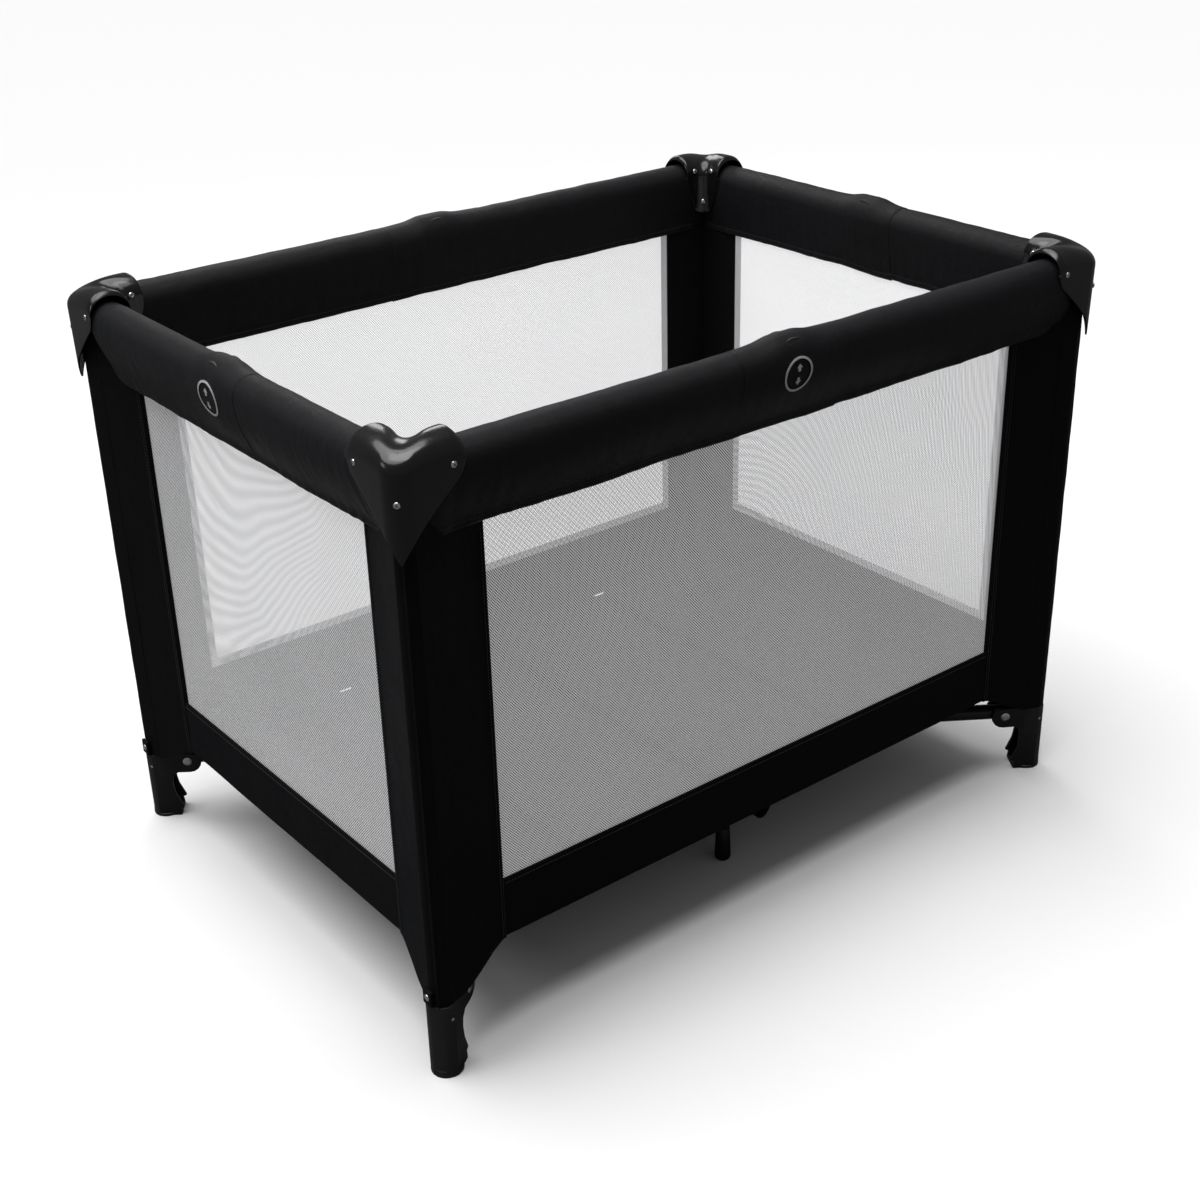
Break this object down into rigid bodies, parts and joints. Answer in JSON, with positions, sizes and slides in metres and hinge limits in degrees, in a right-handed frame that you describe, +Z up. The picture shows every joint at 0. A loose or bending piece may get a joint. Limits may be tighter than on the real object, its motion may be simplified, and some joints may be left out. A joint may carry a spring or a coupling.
{
  "type": "playpen",
  "caption": "Rectangular folding playpen with padded break-apart top rails, net walls, corner posts on feet, a folding base hub and a loose mat.",
  "frame": {"origin": "on the floor under the middle of the pen, with the pen open", "axes": "+X along the long sides to the right, +Y along the short sides to the back, +Z up"},
  "size_m": [1.053, 0.747, 0.758],
  "materials": {
    "tube": "satin black powder coat",
    "cap_plastic": "polished black",
    "foot_plastic": "fine satin",
    "dark_plastic": "fine satin",
    "button": "satin grey",
    "rivet": "bright nickel",
    "rail_cloth": "black satin-finish polyester over foam",
    "corner_cloth": "black woven polyester",
    "net": "pale grey knitted net with black lower band",
    "floor_cloth": "black woven polyester",
    "mat_cloth": "black quilted polyester",
    "strap": "black webbing"
  },
  "bodies": {
    "post_front_left": {"post_front_left": "tube", "cap_front_left": "cap_plastic", "foot_front_left": "foot_plastic", "foot_pin_front_left": "rivet", "corner_sleeve_front_left": "corner_cloth", "wall_front": "net", "wall_left": "net"},
    "base_front_left": {"base_tube_front_left": "tube"},
    "post_front_right": {"post_front_right": "tube", "cap_front_right": "cap_plastic", "foot_front_right": "foot_plastic", "foot_pin_front_right": "rivet", "corner_sleeve_front_right": "corner_cloth"},
    "base_front_right": {"base_tube_front_right": "tube"},
    "post_back_left": {"post_back_left": "tube", "cap_back_left": "cap_plastic", "foot_back_left": "foot_plastic", "foot_pin_back_left": "rivet", "corner_sleeve_back_left": "corner_cloth"},
    "base_back_left": {"base_tube_back_left": "tube"},
    "post_back_right": {"post_back_right": "tube", "cap_back_right": "cap_plastic", "foot_back_right": "foot_plastic", "foot_pin_back_right": "rivet", "corner_sleeve_back_right": "corner_cloth", "wall_back": "net", "wall_right": "net"},
    "base_back_right": {"base_tube_back_right": "tube"},
    "hub": {"hub": "dark_plastic", "floor_cloth": "floor_cloth", "pull_strap": "strap"},
    "mat": {"mat": "mat_cloth"},
    "leg_front": {"centre_leg_front": "tube", "leg_tip_front": "foot_plastic"},
    "leg_back": {"centre_leg_back": "tube", "leg_tip_back": "foot_plastic"},
    "rail_front_front_left": {"rail_front_front_left": "tube", "rail_cover_front_front_left": "rail_cloth"},
    "rail_front_front_right": {"rail_front_front_right": "tube", "rail_cover_front_front_right": "rail_cloth"},
    "latch_front": {"rail_latch_front": "dark_plastic"},
    "button_front": {"release_button_front": "button"},
    "rail_back_back_left": {"rail_back_back_left": "tube", "rail_cover_back_back_left": "rail_cloth"},
    "rail_back_back_right": {"rail_back_back_right": "tube", "rail_cover_back_back_right": "rail_cloth"},
    "latch_back": {"rail_latch_back": "dark_plastic"},
    "button_back": {"release_button_back": "button"},
    "rail_left_front_left": {"rail_left_front_left": "tube", "rail_cover_left_front_left": "rail_cloth"},
    "rail_left_back_left": {"rail_left_back_left": "tube", "rail_cover_left_back_left": "rail_cloth"},
    "latch_left": {"rail_latch_left": "dark_plastic"},
    "button_left": {"release_button_left": "button"},
    "rail_right_front_right": {"rail_right_front_right": "tube", "rail_cover_right_front_right": "rail_cloth"},
    "rail_right_back_right": {"rail_right_back_right": "tube", "rail_cover_right_back_right": "rail_cloth"},
    "latch_right": {"rail_latch_right": "dark_plastic"},
    "button_right": {"release_button_right": "button"}
  },
  "joints": [
    {"name": "frame_fold", "type": "hinge", "parent": "post_front_left", "child": "base_front_left", "pos_m": [-0.46796, -0.32476, 0.086], "axis": [0.5701, -0.8215, 0], "range_deg": [0, 80], "deforming": ["corner_sleeve_front_left", "corner_sleeve_front_right", "corner_sleeve_back_left", "corner_sleeve_back_right", "wall_front", "wall_back", "wall_left", "wall_right", "floor_cloth", "mat", "pull_strap"]},
    {"name": "hub_level", "type": "hinge", "parent": "base_front_left", "child": "hub", "pos_m": [-0.04108, -0.02851, 0.086], "axis": [0.5701, -0.8215, 0], "range_deg": [-81, 1]},
    {"name": "base_fold_front_right", "type": "hinge", "parent": "hub", "child": "base_front_right", "pos_m": [0.04108, -0.02851, 0.086], "axis": [0.5701, 0.8215, 0], "range_deg": [-1, 81]},
    {"name": "post_level_front_right", "type": "hinge", "parent": "base_front_right", "child": "post_front_right", "pos_m": [0.46796, -0.32476, 0.086], "axis": [0.5701, 0.8215, 0], "range_deg": [-81, 1]},
    {"name": "base_fold_back_left", "type": "hinge", "parent": "hub", "child": "base_back_left", "pos_m": [-0.04108, 0.02851, 0.086], "axis": [-0.5701, -0.8215, 0], "range_deg": [-1, 81]},
    {"name": "post_level_back_left", "type": "hinge", "parent": "base_back_left", "child": "post_back_left", "pos_m": [-0.46796, 0.32476, 0.086], "axis": [-0.5701, -0.8215, 0], "range_deg": [-81, 1]},
    {"name": "base_fold_back_right", "type": "hinge", "parent": "hub", "child": "base_back_right", "pos_m": [0.04108, 0.02851, 0.086], "axis": [-0.5701, 0.8215, 0], "range_deg": [-1, 81]},
    {"name": "post_level_back_right", "type": "hinge", "parent": "base_back_right", "child": "post_back_right", "pos_m": [0.46796, 0.32476, 0.086], "axis": [-0.5701, 0.8215, 0], "range_deg": [-81, 1]},
    {"name": "leg_fold_front", "type": "hinge", "parent": "hub", "child": "leg_front", "pos_m": [0.0105, -0.052, 0.086], "axis": [1, 0, 0], "range_deg": [-1, 81]},
    {"name": "leg_fold_back", "type": "hinge", "parent": "hub", "child": "leg_back", "pos_m": [-0.0105, 0.052, 0.086], "axis": [-1, 0, 0], "range_deg": [-1, 81]},
    {"name": "rail_fold_front_front_left", "type": "hinge", "parent": "post_front_left", "child": "rail_front_front_left", "pos_m": [-0.47, -0.347, 0.724], "axis": [0, 1, 0], "range_deg": [-1, 81]},
    {"name": "rail_fold_front_front_right", "type": "hinge", "parent": "post_front_right", "child": "rail_front_front_right", "pos_m": [0.47, -0.347, 0.724], "axis": [0, -1, 0], "range_deg": [-1, 81]},
    {"name": "latch_level_front", "type": "hinge", "parent": "rail_front_front_left", "child": "latch_front", "pos_m": [-0.04312, -0.347, 0.724], "axis": [0, 1, 0], "range_deg": [-81, 1]},
    {"name": "press_button_front", "type": "slide", "parent": "latch_front", "child": "button_front", "axis": [0, 1, 0], "range_m": [0, 0.0035], "stiffness_N_per_m": 600, "springref_m": -0.002},
    {"name": "rail_fold_back_back_left", "type": "hinge", "parent": "post_back_left", "child": "rail_back_back_left", "pos_m": [-0.47, 0.347, 0.724], "axis": [0, 1, 0], "range_deg": [-1, 81]},
    {"name": "rail_fold_back_back_right", "type": "hinge", "parent": "post_back_right", "child": "rail_back_back_right", "pos_m": [0.47, 0.347, 0.724], "axis": [0, -1, 0], "range_deg": [-1, 81]},
    {"name": "latch_level_back", "type": "hinge", "parent": "rail_back_back_left", "child": "latch_back", "pos_m": [-0.04312, 0.347, 0.724], "axis": [0, 1, 0], "range_deg": [-81, 1]},
    {"name": "press_button_back", "type": "slide", "parent": "latch_back", "child": "button_back", "axis": [0, -1, 0], "range_m": [0, 0.0035], "stiffness_N_per_m": 600, "springref_m": -0.002},
    {"name": "rail_fold_left_front_left", "type": "hinge", "parent": "post_front_left", "child": "rail_left_front_left", "pos_m": [-0.5, -0.317, 0.724], "axis": [-1, 0, 0], "range_deg": [-1, 81]},
    {"name": "rail_fold_left_back_left", "type": "hinge", "parent": "post_back_left", "child": "rail_left_back_left", "pos_m": [-0.5, 0.317, 0.724], "axis": [1, 0, 0], "range_deg": [-1, 81]},
    {"name": "latch_level_left", "type": "hinge", "parent": "rail_left_front_left", "child": "latch_left", "pos_m": [-0.5, -0.02074, 0.724], "axis": [-1, 0, 0], "range_deg": [-81, 1]},
    {"name": "press_button_left", "type": "slide", "parent": "latch_left", "child": "button_left", "axis": [1, 0, 0], "range_m": [0, 0.0035], "stiffness_N_per_m": 600, "springref_m": -0.002},
    {"name": "rail_fold_right_front_right", "type": "hinge", "parent": "post_front_right", "child": "rail_right_front_right", "pos_m": [0.5, -0.317, 0.724], "axis": [-1, 0, 0], "range_deg": [-1, 81]},
    {"name": "rail_fold_right_back_right", "type": "hinge", "parent": "post_back_right", "child": "rail_right_back_right", "pos_m": [0.5, 0.317, 0.724], "axis": [1, 0, 0], "range_deg": [-1, 81]},
    {"name": "latch_level_right", "type": "hinge", "parent": "rail_right_front_right", "child": "latch_right", "pos_m": [0.5, -0.02074, 0.724], "axis": [-1, 0, 0], "range_deg": [-81, 1]},
    {"name": "press_button_right", "type": "slide", "parent": "latch_right", "child": "button_right", "axis": [-1, 0, 0], "range_m": [0, 0.0035], "stiffness_N_per_m": 600, "springref_m": -0.002},
    {"name": "lift_mat", "type": "slide", "parent": "hub", "child": "mat", "axis": [0, 0, 1], "range_m": [0, 0.75]}
  ],
  "couplings": [
    {"joint": "hub_level", "follows": "frame_fold", "ratio": -1},
    {"joint": "base_fold_front_right", "follows": "frame_fold", "ratio": 1},
    {"joint": "post_level_front_right", "follows": "frame_fold", "ratio": -1},
    {"joint": "base_fold_back_left", "follows": "frame_fold", "ratio": 1},
    {"joint": "post_level_back_left", "follows": "frame_fold", "ratio": -1},
    {"joint": "base_fold_back_right", "follows": "frame_fold", "ratio": 1},
    {"joint": "post_level_back_right", "follows": "frame_fold", "ratio": -1},
    {"joint": "leg_fold_front", "follows": "frame_fold", "ratio": 1},
    {"joint": "leg_fold_back", "follows": "frame_fold", "ratio": 1},
    {"joint": "rail_fold_front_front_left", "follows": "frame_fold", "ratio": 1},
    {"joint": "rail_fold_front_front_right", "follows": "frame_fold", "ratio": 1},
    {"joint": "latch_level_front", "follows": "frame_fold", "ratio": -1},
    {"joint": "rail_fold_back_back_left", "follows": "frame_fold", "ratio": 1},
    {"joint": "rail_fold_back_back_right", "follows": "frame_fold", "ratio": 1},
    {"joint": "latch_level_back", "follows": "frame_fold", "ratio": -1},
    {"joint": "rail_fold_left_front_left", "follows": "frame_fold", "ratio": 1},
    {"joint": "rail_fold_left_back_left", "follows": "frame_fold", "ratio": 1},
    {"joint": "latch_level_left", "follows": "frame_fold", "ratio": -1},
    {"joint": "rail_fold_right_front_right", "follows": "frame_fold", "ratio": 1},
    {"joint": "rail_fold_right_back_right", "follows": "frame_fold", "ratio": 1},
    {"joint": "latch_level_right", "follows": "frame_fold", "ratio": -1}
  ]
}
